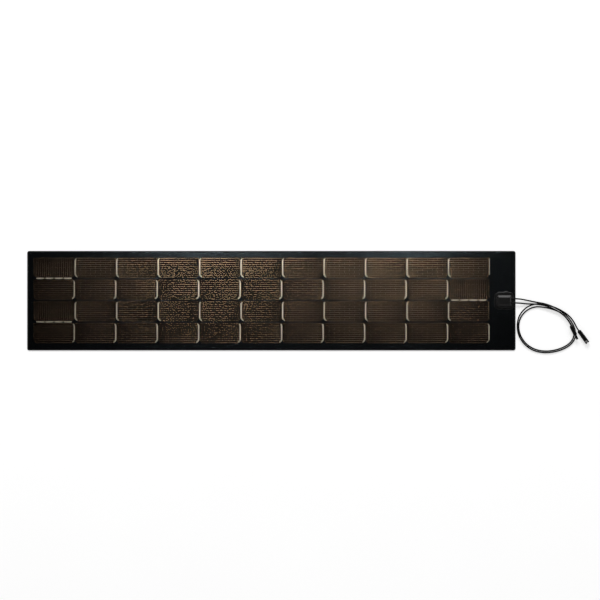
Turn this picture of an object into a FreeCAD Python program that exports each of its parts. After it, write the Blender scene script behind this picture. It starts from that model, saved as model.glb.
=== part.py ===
import FreeCAD, Part
import math
import os

# Thin, bendable solar panel with a junction box on its front and two cables with connectors.
# Millimetres. The origin is the middle of the panel's underside, +Z is up through the front film,
# and +X runs along the panel towards the junction box.

Vector = FreeCAD.Vector

# ---- panel laminate, from the underside up ----
PANEL_LENGTH = 1860.0
PANEL_WIDTH = 379.0
PANEL_CORNER_RADIUS = 8.0
EDGE_SEAL_WIDTH = 4.5
BACK_SHEET = 0.3
SUPPORT_BOARD = 0.9
REAR_ENCAPSULANT = 0.5
FRONT_ENCAPSULANT = 0.7
FRONT_FILM = 0.2

BOARD_BOTTOM = BACK_SHEET
REAR_BOTTOM = BOARD_BOTTOM + SUPPORT_BOARD
CELL_BOTTOM = REAR_BOTTOM + REAR_ENCAPSULANT
FILM_BOTTOM = CELL_BOTTOM + FRONT_ENCAPSULANT
PANEL_TOP = FILM_BOTTOM + FRONT_FILM

# ---- cells: half-cut wafers in four rows of eleven ----
ROWS = 4
COLUMNS = 11
CELL_LENGTH = 156.0
CELL_WIDTH = 78.0
CELL_THICKNESS = 0.2
CELL_CHAMFER = 9.5
COLUMN_PITCH = 158.0
ROW_PITCH = 83.0
FIELD_MIDDLE_X = -38.0
FIELD_MIDDLE_Y = 0.9
POCKET_SIDE_MARGIN = 0.8
POCKET_END_MARGIN = 1.6
COVER_FILM_GAP = 1.8

# ---- metal grid on each cell ----
FOIL = 0.1
FINGER_PITCH = 8.0
FINGER_WIDTH = 0.9
END_LINE_WIDTH = 0.9
END_STRIP_WIDTH = 3.0
BAR_ON_CELL = 3.0
BAR_IN_GAP = 1.2
TIE_WIDTH = 0.8
TIE_SPACING = 38.0
CROSS_FINGERS = 10
UPRIGHT_FINGERS = 20
SIDE_INSET = 1.5
END_INSET = 0.6
LIP_REACH = 7.9
LIP_LENGTH = 62.0
LIP_SHIFT = 4.5
TAB_COUNT = 4
TAB_WIDTH = 30.0
TAB_PITCH = 35.0
TAB_LIP_Y = -42.2
TAB_FLANGE = 8.7

GRID_BOTTOM = CELL_BOTTOM + CELL_THICKNESS
GRID_TOP = GRID_BOTTOM + FOIL
REAR_FOIL_BOTTOM = CELL_BOTTOM - FOIL

# ---- bus ribbons in the right-hand margin ----
BUS_LEFT = 839.0
BUS_WIDTH = 7.0
RIBBON_Y = 12.0
RIBBON_WIDTH = 6.0
RISER_X = 866.6
RISER_TOP = 8.8
COVER_FILM = 0.1

# ---- junction box ----
BOX_MIDDLE_X = 885.5
FLANGE_LENGTH = 63.0
FLANGE_WIDTH = 56.0
FLANGE_INNER_RADIUS = 15.0
FLANGE_CABLE_RADIUS = 6.0
FLANGE_THICKNESS = 2.0
WALL_LEFT = 857.0
WALL_RIGHT = 912.0
WALL_HALF_WIDTH = 20.5
WALL_INNER_RADIUS = 10.0
WALL_CABLE_RADIUS = 3.0
BOX_WALL = 2.0
BOX_FLOOR = 1.5
SEALANT_BED = 0.6
SEALANT_WIDTH = 7.0
SEALANT_HEIGHT = 3.0
GASKET_THICKNESS = 0.6
LID_SLOPE_WIDTH = 8.0
LID_EDGE = 1.0
LID_HEIGHT = 5.8
LID_SKIN = 2.0
LID_STEP = 0.6
LID_LIP_DEPTH = 2.6
LID_LIP_THICKNESS = 1.2
SLOT_X = (862.0, 869.0)
SLOT_HALF_WIDTH = 16.0

BOX_BOTTOM = PANEL_TOP + SEALANT_BED
FLANGE_TOP = BOX_BOTTOM + FLANGE_THICKNESS
FLOOR_TOP = BOX_BOTTOM + BOX_FLOOR
WALL_TOP = 16.6
LID_BOTTOM = WALL_TOP + GASKET_THICKNESS
PLATE_BOTTOM = RISER_TOP - 1.2
TERMINAL_Y = 10.25
TERMINAL_HALF_WIDTH = 4.6
TERMINAL_X = (867.0, 889.5)
BARREL_X = (879.0, 892.0)
CLAMP_X = (899.5, 905.5)
CLAMP_MIDDLE_X = (CLAMP_X[0] + CLAMP_X[1]) / 2
CLAMP_HALF_WIDTH = 16.0
CLAMP_THICKNESS = 4.0
CLAMP_SCREW_Y = 13.5
CLAMP_SCREW_DEPTH = 4.0
SCREW_RADIUS = 1.0
SCREW_HEAD_RADIUS = 2.1
SCREW_HEAD = 1.4
BOOT_NECK_RADIUS = 4.0
DIODE_X = 876.0
DIODE_RADIUS = 2.5
DIODE_LENGTH = 9.0
DIODE_LEAD_RADIUS = 0.5
DIODE_LEAD_LENGTH = 26.0

# ---- cables ----
CABLE_RADIUS = 2.75
CONDUCTOR_RADIUS = 1.25
CABLE_EXIT_Z = 11.0
CABLE_START_X = 899.0
CABLE_SPACING = 16.4
ARC_SHARE = 0.45

# Routes, from inside the box to inside the connector. Both cables make one turn together and
# then lie over their own first pass; the long one crosses to the outside of the turn.
LONG_ROUTE = [
    (899, 8.2, 11), (938, 8.2, 11), (974, 1.5, 5.5), (1009, -6, 2.8), (1044, -11.5, 2.8),
    (1080, -25.5, 2.8), (1114, -46, 2.8), (1139, -73, 2.8), (1156.5, -105, 2.8),
    (1160, -139.5, 2.8), (1141, -168, 2.8), (1108, -187, 2.8), (1070, -197, 2.8),
    (1032, -198.5, 2.8), (995, -189.5, 2.8), (962, -166, 5.5), (942, -133, 8.6),
    (935.5, -96, 8.6), (945, -59, 8.6), (971, -29, 8.6), (1005, -15.5, 8.6),
    (1040, -18, 8.6), (1074, -26.5, 8.6), (1105, -38.5, 8.6), (1132, -55.5, 7),
    (1150.5, -78, 7.5), (1162.8, -103.6, 8.5), (1179.2, -126.3, 8.5),
]
SHORT_ROUTE = [
    (899, -8.2, 11), (938, -8.2, 11), (973, -12.5, 5.5), (1007, -12.8, 2.8), (1042, -18, 2.8),
    (1077, -31.5, 2.8), (1109.5, -51, 2.8), (1134, -77, 2.8), (1150.5, -107.5, 2.8),
    (1153.5, -137.5, 2.8), (1137, -163, 2.8), (1106, -181, 2.8), (1070, -191, 2.8),
    (1033, -192.5, 2.8), (998, -184, 2.8), (967, -162.5, 2.8), (947, -131.5, 2.8),
    (940, -97, 2.8), (948.5, -62, 2.8), (973, -35, 2.8), (1005, -22, 2.8),
    (1040, -25, 5.5), (1071, -32.5, 8.6), (1099, -43.5, 9.2), (1119, -60, 11.5),
    (1135.2, -83.6, 13.6), (1147, -109, 13.6),
]

# ---- connectors, along their own axis from the rear of the gland nut ----
CABLE_END = 16.0
NUT_LENGTH = 18.0
NUT_RADIUS = 7.7
NUT_BORE_RADIUS = 6.2
NUT_THROAT_RADIUS = 5.3
NUT_MOUTH_RADIUS = 3.3
SPIGOT_RADIUS = 5.9
SPIGOT_START = 8.0
SEAL_RADIUS = 4.5
CAGE_BORE_RADIUS = 3.0
FLANGE_START = 18.4
BODY_START = 22.4
CONTACT_BORE_RADIUS = 2.95
BARREL_RADIUS = 2.4
BARREL_BORE_RADIUS = 1.4
SOCKET_LENGTH = 58.0
SOCKET_BODY_END = 39.6
PROBE_RADIUS = 4.2
SOCKET_BORE_RADIUS = 2.0
O_RING_X = 44.5
ARM_START = 40.0
ARM_END = 53.5
ARM_INNER = 5.5
ARM_OUTER = 7.1
ARM_HOOK = 7.4
PIN_LENGTH = 58.7
SHELL_RADIUS = 8.2
SHELL_BORE_RADIUS = 5.7
SHELL_BORE_START = 34.0
PIN_RADIUS = 2.0
PIN_START = 34.5
PIN_TIP = 53.0


# ---------------------------------------------------------------- plain shapes

def block(x0, x1, y0, y1, z0, z1):
    """Box between two corners."""
    return Part.makeBox(x1 - x0, y1 - y0, z1 - z0, Vector(x0, y0, z0))


def rod(radius, x0, x1, y=0.0, z=0.0):
    """Cylinder along X."""
    return Part.makeCylinder(radius, x1 - x0, Vector(x0, y, z), Vector(1, 0, 0))


def prism(points, z0, z1):
    """Upright solid on a polygon of (x, y) points."""
    corners = [Vector(x, y, z0) for x, y in points]
    wire = Part.makePolygon(corners + corners[:1])
    return Part.Face(wire).extrude(Vector(0, 0, z1 - z0))


def turned(profile):
    """Solid of revolution about X from (x, radius) points, closed along the axis side."""
    corners = [Vector(x, 0, radius) for x, radius in profile]
    face = Part.Face(Part.makePolygon(corners + corners[:1]))
    return face.revolve(Vector(0, 0, 0), Vector(1, 0, 0), 360)


def rounded_wire(x0, x1, y0, y1, left_radius, right_radius, z):
    """Rectangle with round corners; the corners at x0 and at x1 may differ."""
    corners = [
        (x0, y0, left_radius, 180), (x1, y0, right_radius, 270),
        (x1, y1, right_radius, 0), (x0, y1, left_radius, 90),
    ]
    arcs = []
    for x, y, radius, start in corners:
        middle = Vector(x + radius * (1 if x == x0 else -1), y + radius * (1 if y == y0 else -1), z)
        angles = [math.radians(start + step) for step in (0, 45, 90)]
        points = [middle + Vector(math.cos(a), math.sin(a), 0) * radius for a in angles]
        arcs.append((points, Part.Arc(*points).toShape()))
    edges = []
    for index, (points, arc) in enumerate(arcs):
        following = arcs[(index + 1) % len(arcs)][0][0]
        edges.append(arc)
        edges.append(Part.LineSegment(points[-1], following).toShape())
    return Part.Wire(edges)


def rounded_block(x0, x1, y0, y1, z0, z1, left_radius, right_radius=None):
    """Upright solid on a rectangle with round corners."""
    wire = rounded_wire(x0, x1, y0, y1, left_radius, right_radius or left_radius, z0)
    return Part.Face(wire).extrude(Vector(0, 0, z1 - z0))


def save(name, shape):
    """Write one sub-part."""
    shape.exportStep("parts/%s.step" % name)


# ---------------------------------------------------------------- laminate

def sheet(z0, z1):
    """One full layer of the laminate, inside the edge seal."""
    half_x = PANEL_LENGTH / 2 - EDGE_SEAL_WIDTH
    half_y = PANEL_WIDTH / 2 - EDGE_SEAL_WIDTH
    radius = PANEL_CORNER_RADIUS - EDGE_SEAL_WIDTH
    return rounded_block(-half_x, half_x, -half_y, half_y, z0, z1, radius)


def edge_seal():
    """Black ring that closes the laminate's edge."""
    half_x = PANEL_LENGTH / 2
    half_y = PANEL_WIDTH / 2
    outer = rounded_block(-half_x, half_x, -half_y, half_y, 0, PANEL_TOP, PANEL_CORNER_RADIUS)
    return outer.cut(sheet(0, PANEL_TOP))


def column_x(column):
    """Middle of a column of cells; column 0 is furthest from the junction box."""
    return FIELD_MIDDLE_X + (column - (COLUMNS - 1) / 2) * COLUMN_PITCH


def row_y(row):
    """Middle of a row of cells; row 0 is the one at +Y."""
    return FIELD_MIDDLE_Y - (row - (ROWS - 1) / 2) * ROW_PITCH


def turned_cell(row, column):
    """The last cell before the string changes row has its fingers along Y."""
    end_of_row = 0 if row % 2 == 0 else COLUMNS - 1
    return column == end_of_row and row < ROWS - 1


def lip_span(middle):
    """Low and high Y of the foil lip of a cell, clear of the cell's chamfers."""
    return middle + LIP_SHIFT - LIP_LENGTH / 2, middle + LIP_SHIFT + LIP_LENGTH / 2


def cell_pockets(z0, z1):
    """Room for the cells of every row, joined where the string changes row."""
    x0 = column_x(0) - CELL_LENGTH / 2 - POCKET_END_MARGIN
    x1 = column_x(COLUMNS - 1) + CELL_LENGTH / 2 + POCKET_END_MARGIN
    half = CELL_WIDTH / 2 + POCKET_SIDE_MARGIN
    pockets = [block(x0, x1, row_y(row) - half, row_y(row) + half, z0, z1) for row in range(ROWS)]
    for row in range(ROWS - 1):
        x = column_x(0 if row % 2 == 0 else COLUMNS - 1)
        reach = CELL_LENGTH / 2 - CELL_CHAMFER
        pockets.append(block(x - reach, x + reach, row_y(row + 1), row_y(row), z0, z1))
    return pockets[0].multiFuse(pockets[1:]).removeSplitter()


def ribbon_slot(z0, z1):
    """Opening under the junction box that the bus ribbons rise through."""
    return block(SLOT_X[0], SLOT_X[1], -SLOT_HALF_WIDTH, SLOT_HALF_WIDTH, z0, z1)


def bus_path(z0, z1, margin):
    """Room for both bus ribbons behind the cover film."""
    bottom = lip_span(row_y(ROWS - 1))[0] - margin
    top = lip_span(row_y(0))[1] + margin
    left = column_x(COLUMNS - 1) + CELL_LENGTH / 2
    upright = block(left, BUS_LEFT + BUS_WIDTH + margin, bottom, top, z0, z1)
    reach = RIBBON_Y + RIBBON_WIDTH / 2 + margin
    branch = block(BUS_LEFT, SLOT_X[1], -reach, reach, z0, z1)
    return upright.fuse(branch).removeSplitter()


def rear_encapsulant():
    """Layer behind the cells, with shallow room for the foils on their backs."""
    layer = sheet(REAR_BOTTOM, CELL_BOTTOM)
    layer = layer.cut(cell_pockets(REAR_FOIL_BOTTOM, CELL_BOTTOM))
    return layer.cut(bus_path(REAR_FOIL_BOTTOM, CELL_BOTTOM, 0.5))


def front_encapsulant():
    """Clear layer over the cells."""
    layer = sheet(CELL_BOTTOM, FILM_BOTTOM)
    layer = layer.cut(cell_pockets(CELL_BOTTOM, GRID_TOP))
    layer = layer.cut(bus_path(CELL_BOTTOM, CELL_BOTTOM + COVER_FILM, 1.5))
    return layer.cut(ribbon_slot(CELL_BOTTOM, FILM_BOTTOM))


def bus_cover_film():
    """Thin black strip that hides the bus ribbons."""
    strip = bus_path(CELL_BOTTOM, CELL_BOTTOM + COVER_FILM, 1.5)
    pocket_edge = column_x(COLUMNS - 1) + CELL_LENGTH / 2 + COVER_FILM_GAP
    beside_cells = block(0, pocket_edge, -PANEL_WIDTH, PANEL_WIDTH, 0, PANEL_TOP)
    return strip.cut(beside_cells).cut(ribbon_slot(CELL_BOTTOM, FILM_BOTTOM))


# ---------------------------------------------------------------- cells and grids

def chamfered_plate(half_x, half_y, chamfer, z0, z1):
    """Plate whose two corners at -Y are cut off, as on half of a pseudo-square wafer."""
    outline = [
        (-half_x, half_y), (half_x, half_y), (half_x, -half_y + chamfer),
        (half_x - chamfer, -half_y), (-half_x + chamfer, -half_y), (-half_x, -half_y + chamfer),
    ]
    return prism(outline, z0, z1)


def cell():
    """One half-cut cell at the origin."""
    return chamfered_plate(CELL_LENGTH / 2, CELL_WIDTH / 2, CELL_CHAMFER, CELL_BOTTOM, GRID_BOTTOM)


def windows(count, low, high, across):
    """Openings between parallel fingers, split by ties that step like brickwork.

    The fingers run from low to high; across(a0, a1, b0, b1) makes one opening with a along the
    fingers and b across them.
    """
    openings = []
    first = -(count - 1) / 2 * FINGER_PITCH
    for gap in range(count - 1):
        b0 = first + gap * FINGER_PITCH + FINGER_WIDTH / 2
        b1 = b0 + FINGER_PITCH - FINGER_WIDTH
        step = TIE_SPACING / 2 if gap % 2 else TIE_SPACING
        ties = [low]
        while ties[-1] + step < high - TIE_WIDTH * 4:
            ties.append(ties[-1] + step)
            step = TIE_SPACING
        for a0, a1 in zip(ties, ties[1:] + [high + TIE_WIDTH / 2]):
            start = a0 + (TIE_WIDTH / 2 if a0 > low else 0)
            openings.append(across(start, a1 - TIE_WIDTH / 2, b0, b1))
    return openings


def line_plate(half_x, half_y, openings, bar):
    """Grid plate: an outline with its openings cut out, and the collecting bar kept whole."""
    plate = chamfered_plate(half_x, half_y, CELL_CHAMFER, GRID_BOTTOM, GRID_TOP)
    edge = END_LINE_WIDTH
    inside = chamfered_plate(half_x - edge, half_y, CELL_CHAMFER, GRID_BOTTOM, GRID_TOP)
    inside = inside.cut(bar)
    return plate.cut(Part.makeCompound(openings).common(inside))


def cross_grid(end_width):
    """Grid with fingers along X; its bar at +X reaches over the gap and behind the next cell."""
    half_x = CELL_LENGTH / 2 - END_INSET
    half_y = (CROSS_FINGERS - 1) / 2 * FINGER_PITCH + FINGER_WIDTH / 2
    edge = CELL_LENGTH / 2
    bar = block(edge - BAR_ON_CELL, edge, -half_y, half_y, GRID_BOTTOM, GRID_TOP)

    def across(a0, a1, b0, b1):
        return block(a0, a1, b0, b1, GRID_BOTTOM, GRID_TOP)

    openings = windows(CROSS_FINGERS, -half_x + end_width, edge - BAR_ON_CELL, across)
    plate = line_plate(half_x, half_y, openings, bar)
    low, high = lip_span(0)
    outside = edge + BAR_IN_GAP
    inside = outside - FOIL
    top = block(half_x - 1, outside, low, high, GRID_BOTTOM, GRID_TOP)
    drop = block(inside, outside, low, high, REAR_FOIL_BOTTOM, GRID_TOP)
    flange = block(inside, inside + LIP_REACH, low, high, REAR_FOIL_BOTTOM, CELL_BOTTOM)
    return plate.multiFuse([top, drop, flange]).removeSplitter()


def upright_grid():
    """Grid with fingers along Y and four tabs at -Y that reach behind the cell below."""
    half_x = (UPRIGHT_FINGERS - 1) / 2 * FINGER_PITCH + FINGER_WIDTH / 2
    half_y = CELL_WIDTH / 2 - SIDE_INSET
    bar = block(-half_x, half_x, -half_y, -half_y + END_LINE_WIDTH, GRID_BOTTOM, GRID_TOP)

    def across(a0, a1, b0, b1):
        return block(b0, b1, a0, a1, GRID_BOTTOM, GRID_TOP)

    openings = windows(UPRIGHT_FINGERS, -half_y, half_y - END_LINE_WIDTH, across)
    plate = line_plate(half_x, half_y, openings, bar)
    pieces = []
    for index in range(TAB_COUNT):
        x0 = (index - (TAB_COUNT - 1) / 2) * TAB_PITCH - TAB_WIDTH / 2
        x1 = x0 + TAB_WIDTH
        pieces.append(block(x0, x1, TAB_LIP_Y, -half_y + 1, GRID_BOTTOM, GRID_TOP))
        pieces.append(block(x0, x1, TAB_LIP_Y, TAB_LIP_Y + FOIL, REAR_FOIL_BOTTOM, GRID_TOP))
        pieces.append(block(x0, x1, TAB_LIP_Y - TAB_FLANGE, TAB_LIP_Y + FOIL,
                            REAR_FOIL_BOTTOM, CELL_BOTTOM))
    return plate.multiFuse(pieces).removeSplitter()


def row_of_cells(row):
    """All cells of one row, as separate solids."""
    one = cell()
    return Part.makeCompound([one.translated(Vector(column_x(c), row_y(row), 0))
                              for c in range(COLUMNS)])


def row_of_grids(row, cross, wide_end, upright):
    """All grids of one row; the bars face the way the string runs."""
    grids = []
    for column in range(COLUMNS):
        if turned_cell(row, column):
            grid = upright
        elif row % 2 == 0:
            facing = wide_end if column == COLUMNS - 1 else cross
            grid = facing.mirror(Vector(0, 0, 0), Vector(1, 0, 0))
        else:
            grid = cross
        grids.append(grid.translated(Vector(column_x(column), row_y(row), 0)))
    return Part.makeCompound(grids)


def bus_ribbon(side):
    """Ribbon from one end of the string to the junction box; side is +1 at +Y, -1 at -Y."""
    z0, z1 = REAR_FOIL_BOTTOM, CELL_BOTTOM
    row = 0 if side > 0 else ROWS - 1
    low, high = lip_span(row_y(row))
    near = side * RIBBON_Y
    y0, y1 = near - RIBBON_WIDTH / 2, near + RIBBON_WIDTH / 2
    ends = (low, high, y0, y1)
    pieces = [
        block(BUS_LEFT, RISER_X + FOIL, y0, y1, z0, z1),
        block(RISER_X, RISER_X + FOIL, y0, y1, z0, RISER_TOP + FOIL),
        block(RISER_X, RISER_X + 5.4, y0, y1, RISER_TOP, RISER_TOP + FOIL),
    ]
    if side > 0:
        under_cell = column_x(COLUMNS - 1) + CELL_LENGTH / 2 - LIP_REACH
        pieces.append(block(under_cell, BUS_LEFT + 1, low, high, z0, z1))
    upright = block(BUS_LEFT, BUS_LEFT + BUS_WIDTH, min(ends), max(ends), z0, z1)
    return upright.multiFuse(pieces).removeSplitter()


# ---------------------------------------------------------------- junction box

def box_outline(grow, z0, z1):
    """The outline of the box's flange, moved outwards by grow; rounder away from the cables."""
    half_x = FLANGE_LENGTH / 2 + grow
    half_y = FLANGE_WIDTH / 2 + grow
    return rounded_block(BOX_MIDDLE_X - half_x, BOX_MIDDLE_X + half_x, -half_y, half_y, z0, z1,
                         FLANGE_INNER_RADIUS + grow, max(1.0, FLANGE_CABLE_RADIUS + grow))


def wall_outline(grow, z0, z1):
    """The outline of the box's wall, moved outwards by grow."""
    half = WALL_HALF_WIDTH + grow
    return rounded_block(WALL_LEFT - grow, WALL_RIGHT + grow, -half, half, z0, z1,
                         WALL_INNER_RADIUS + grow, max(1.0, WALL_CABLE_RADIUS + grow))


def sealant_bead():
    """Silicone bed under the box and the bead around its flange."""
    bed = box_outline(SEALANT_WIDTH - 1, PANEL_TOP, BOX_BOTTOM)
    bead = box_outline(SEALANT_WIDTH, PANEL_TOP, PANEL_TOP + SEALANT_HEIGHT * 0.4)
    crown = box_outline(SEALANT_WIDTH * 0.6, PANEL_TOP, PANEL_TOP + SEALANT_HEIGHT)
    whole = bed.multiFuse([bead, crown])
    whole = whole.cut(box_outline(0, BOX_BOTTOM, WALL_TOP))
    return whole.cut(ribbon_slot(PANEL_TOP, BOX_BOTTOM)).removeSplitter()


def cable_y(side):
    """Distance of a cable from the box's middle line."""
    return side * CABLE_SPACING / 2


def clamp_screw_hole(side, radius):
    """Upright cylinder at one of the clamp's two screws, from its tip to the screw's head."""
    foot = Vector(CLAMP_MIDDLE_X, side * CLAMP_SCREW_Y, CABLE_EXIT_Z - CLAMP_SCREW_DEPTH)
    return Part.makeCylinder(radius, CLAMP_SCREW_DEPTH + CLAMP_THICKNESS, foot)


def junction_box_base():
    """Open tray with a flange, two cable openings, terminal bosses and a cable saddle."""
    tray = box_outline(0, BOX_BOTTOM, FLANGE_TOP).fuse(wall_outline(0, BOX_BOTTOM, WALL_TOP))
    tray = tray.cut(wall_outline(-BOX_WALL, FLOOR_TOP, WALL_TOP))
    saddle = block(*CLAMP_X, -CLAMP_HALF_WIDTH, CLAMP_HALF_WIDTH, BOX_BOTTOM, CABLE_EXIT_Z)
    boss = TERMINAL_HALF_WIDTH - 0.8
    bosses = [block(SLOT_X[1] + 1, TERMINAL_X[1], side * TERMINAL_Y - boss,
                    side * TERMINAL_Y + boss, BOX_BOTTOM, PLATE_BOTTOM) for side in (-1, 1)]
    tray = tray.multiFuse([saddle] + bosses)
    for side in (-1, 1):
        y = cable_y(side)
        wall = (WALL_RIGHT - BOX_WALL - 1, WALL_RIGHT + 1)
        tray = tray.cut(rod(BOOT_NECK_RADIUS, *wall, y, CABLE_EXIT_Z))
        tray = tray.cut(rod(CABLE_RADIUS, *CLAMP_X, y, CABLE_EXIT_Z))
        tray = tray.cut(clamp_screw_hole(side, SCREW_RADIUS))
    return tray.cut(ribbon_slot(BOX_BOTTOM, FLOOR_TOP)).removeSplitter()


def lid_shell(grow, bottom, edge, height):
    """Solid with a short upright edge and sloping sides."""
    rim = wall_outline(grow, bottom, bottom + edge)
    half_y = WALL_HALF_WIDTH + grow
    inner = WALL_INNER_RADIUS + grow
    outer = max(1.0, WALL_CABLE_RADIUS + grow)
    left, right = WALL_LEFT - grow, WALL_RIGHT + grow
    low = rounded_wire(left, right, -half_y, half_y, inner, outer, bottom + edge)
    slope = LID_SLOPE_WIDTH
    high = rounded_wire(left + slope, right - slope / 2, -half_y + slope, half_y - slope,
                        max(3.0, inner - slope), max(1.0, outer - slope), bottom + height)
    return rim.fuse(Part.makeLoft([low, high], True, True)).removeSplitter()


def junction_box_lid():
    """Cover with sloping sides, a field raised in two steps and a locating lip."""
    lid = lid_shell(0, LID_BOTTOM, LID_EDGE, LID_HEIGHT)
    lid = lid.cut(lid_shell(-LID_SKIN, LID_BOTTOM, LID_EDGE, LID_HEIGHT - LID_SKIN))
    top = LID_BOTTOM + LID_HEIGHT
    steps = [rounded_block(877 + 5 * step, 906 - step, -10.5 + step, 10.5 - step, top - 0.5,
                           top + LID_STEP * (step + 1), 6 - step, 3 - step) for step in (0, 1)]
    lip_outside = -BOX_WALL - 0.3
    lip_top = LID_BOTTOM + LID_EDGE + 1.0
    lip = wall_outline(lip_outside, LID_BOTTOM - LID_LIP_DEPTH, lip_top)
    lip = lip.cut(wall_outline(lip_outside - LID_LIP_THICKNESS, 0, lip_top))
    lip = lip.cut(block(CLAMP_X[0] - 2, WALL_RIGHT, -FLANGE_WIDTH, FLANGE_WIDTH, 0, lip_top))
    return lid.multiFuse(steps + [lip]).removeSplitter()


def lid_gasket():
    """Flat seal between the wall and the lid."""
    ring = wall_outline(-0.4, WALL_TOP, LID_BOTTOM)
    return ring.cut(wall_outline(-BOX_WALL + 0.4, 0, LID_BOTTOM))


def terminal(side):
    """Copper plate that the ribbon lies on, with a crimp barrel for the conductor."""
    low = side * TERMINAL_Y - TERMINAL_HALF_WIDTH
    high = side * TERMINAL_Y + TERMINAL_HALF_WIDTH
    plate = block(*TERMINAL_X, low, high, PLATE_BOTTOM, RISER_TOP)
    barrel = rod(BARREL_RADIUS, *BARREL_X, cable_y(side), CABLE_EXIT_Z)
    bore = rod(CONDUCTOR_RADIUS + 0.05, *BARREL_X, cable_y(side), CABLE_EXIT_Z)
    return plate.fuse(barrel).cut(bore).removeSplitter()


def bypass_diode():
    """Axial diode across the two terminals, with one straight lead on each side."""
    z = RISER_TOP + DIODE_LEAD_RADIUS
    along = Vector(0, 1, 0)
    lead_start = Vector(DIODE_X, -DIODE_LEAD_LENGTH / 2, z)
    lead = Part.makeCylinder(DIODE_LEAD_RADIUS, DIODE_LEAD_LENGTH, lead_start, along)
    body_start = Vector(DIODE_X, -DIODE_LENGTH / 2, z)
    body = Part.makeCylinder(DIODE_RADIUS, DIODE_LENGTH, body_start, along)
    return lead.fuse(body).removeSplitter()


def cable_boot(side):
    """Rubber bush in the box's wall that tapers out along the cable."""
    wall = WALL_RIGHT
    profile = [
        (wall - 4.4, CABLE_RADIUS), (wall - 4.4, 4.8), (wall - BOX_WALL, 4.8),
        (wall - BOX_WALL, BOOT_NECK_RADIUS), (wall, BOOT_NECK_RADIUS), (wall, 5.2),
        (wall + 2.5, 5.2), (wall + 2.5, 4.9), (wall + 6.0, 4.5), (wall + 6.0, 4.1),
        (wall + 7.2, 4.1), (wall + 7.2, 4.4), (wall + 10.4, 4.1), (wall + 10.4, 3.7),
        (wall + 11.6, 3.7), (wall + 11.6, 3.9), (wall + 16.0, 3.5), (wall + 16.0, 3.0),
        (wall + 2.5, 3.0), (wall + 2.5, CABLE_RADIUS),
    ]
    return turned(profile).translated(Vector(0, cable_y(side), CABLE_EXIT_Z))


def cable_clamp():
    """Bar that presses both cables into the saddle."""
    bar = block(*CLAMP_X, -CLAMP_HALF_WIDTH, CLAMP_HALF_WIDTH,
                CABLE_EXIT_Z, CABLE_EXIT_Z + CLAMP_THICKNESS)
    for side in (-1, 1):
        bar = bar.cut(rod(CABLE_RADIUS, *CLAMP_X, cable_y(side), CABLE_EXIT_Z))
        bar = bar.cut(clamp_screw_hole(side, SCREW_RADIUS + 0.3))
    return bar


def clamp_screws():
    """Two screws that hold the clamp."""
    screws = []
    top = CABLE_EXIT_Z + CLAMP_THICKNESS
    for side in (-1, 1):
        y = side * CLAMP_SCREW_Y
        cap = Part.makeCylinder(SCREW_HEAD_RADIUS, SCREW_HEAD, Vector(CLAMP_MIDDLE_X, y, top))
        slot = block(*CLAMP_X, y - 0.3, y + 0.3, top + SCREW_HEAD / 2, top + SCREW_HEAD)
        shank = clamp_screw_hole(side, SCREW_RADIUS)
        screws.append(shank.fuse(cap).cut(slot).removeSplitter())
    return Part.makeCompound(screws)


def box_conductor_ends():
    """Bare ends of both cables in the terminals' barrels."""
    start = BARREL_X[0] + 1
    return Part.makeCompound([rod(CONDUCTOR_RADIUS, start, CABLE_START_X, cable_y(side),
                                  CABLE_EXIT_Z) for side in (-1, 1)])


# ---------------------------------------------------------------- cables

def cable_path(route):
    """Straight runs joined by tangent arcs, each as large as its two runs allow."""
    points = [Vector(*point) for point in route]
    edges = []
    radii = []
    start = points[0]
    for before, corner, after in zip(points, points[1:], points[2:]):
        back = (before - corner).normalize()
        ahead = (after - corner).normalize()
        half_turn = (math.pi - back.getAngle(ahead)) / 2
        cut = ARC_SHARE * min(corner.distanceToPoint(before), corner.distanceToPoint(after))
        radius = cut / math.tan(half_turn)
        radii.append(radius)
        inward = (back + ahead).normalize()
        middle = corner + inward * (math.hypot(radius, cut) - radius)
        arc_start, arc_end = corner + back * cut, corner + ahead * cut
        edges.append(Part.LineSegment(start, arc_start).toShape())
        edges.append(Part.Arc(arc_start, middle, arc_end).toShape())
        start = arc_end
    edges.append(Part.LineSegment(start, points[-1]).toShape())
    return Part.Wire(edges), radii


def cable(name, route):
    """Round cable along a route; its radii, length and volume are printed as a check."""
    path, radii = cable_path(route)
    ahead = Vector(*route[1]) - Vector(*route[0])
    circle = Part.Wire(Part.makeCircle(CABLE_RADIUS, Vector(*route[0]), ahead))
    tube = path.makePipeShell([circle], True, True)
    expected = math.pi * CABLE_RADIUS ** 2 * path.Length
    print(name, "radii", [round(radius) for radius in radii])
    print(name, "length", round(path.Length, 1), "volume ratio", round(tube.Volume / expected, 4))
    return tube


# ---------------------------------------------------------------- connectors

def placed(shape, route):
    """Move a connector piece from its own axis to the end of a cable's route."""
    end = Vector(*route[-1])
    ahead = (end - Vector(*route[-2])).normalize()
    turn = FreeCAD.Rotation(Vector(1, 0, 0), ahead)
    moved = shape.copy()
    moved.Placement = FreeCAD.Placement(end - ahead * CABLE_END, turn)
    return moved


def gland_nut():
    """Cap nut with grip flutes; plain bores stand for its thread."""
    nut = turned([
        (0, NUT_MOUTH_RADIUS), (0, 5.2), (3, 7.0), (4.5, NUT_RADIUS), (16.5, NUT_RADIUS),
        (NUT_LENGTH, 7.2), (NUT_LENGTH, NUT_BORE_RADIUS), (7.5, NUT_BORE_RADIUS),
        (7.5, NUT_THROAT_RADIUS), (2.7, NUT_THROAT_RADIUS), (2.7, NUT_MOUTH_RADIUS),
    ])
    flutes = []
    count = 12
    for index in range(count):
        angle = 2 * math.pi * index / count
        reach = NUT_RADIUS + 0.9
        flutes.append(rod(1.5, 5, 16, reach * math.cos(angle), reach * math.sin(angle)))
    return nut.cut(Part.makeCompound(flutes))


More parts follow.
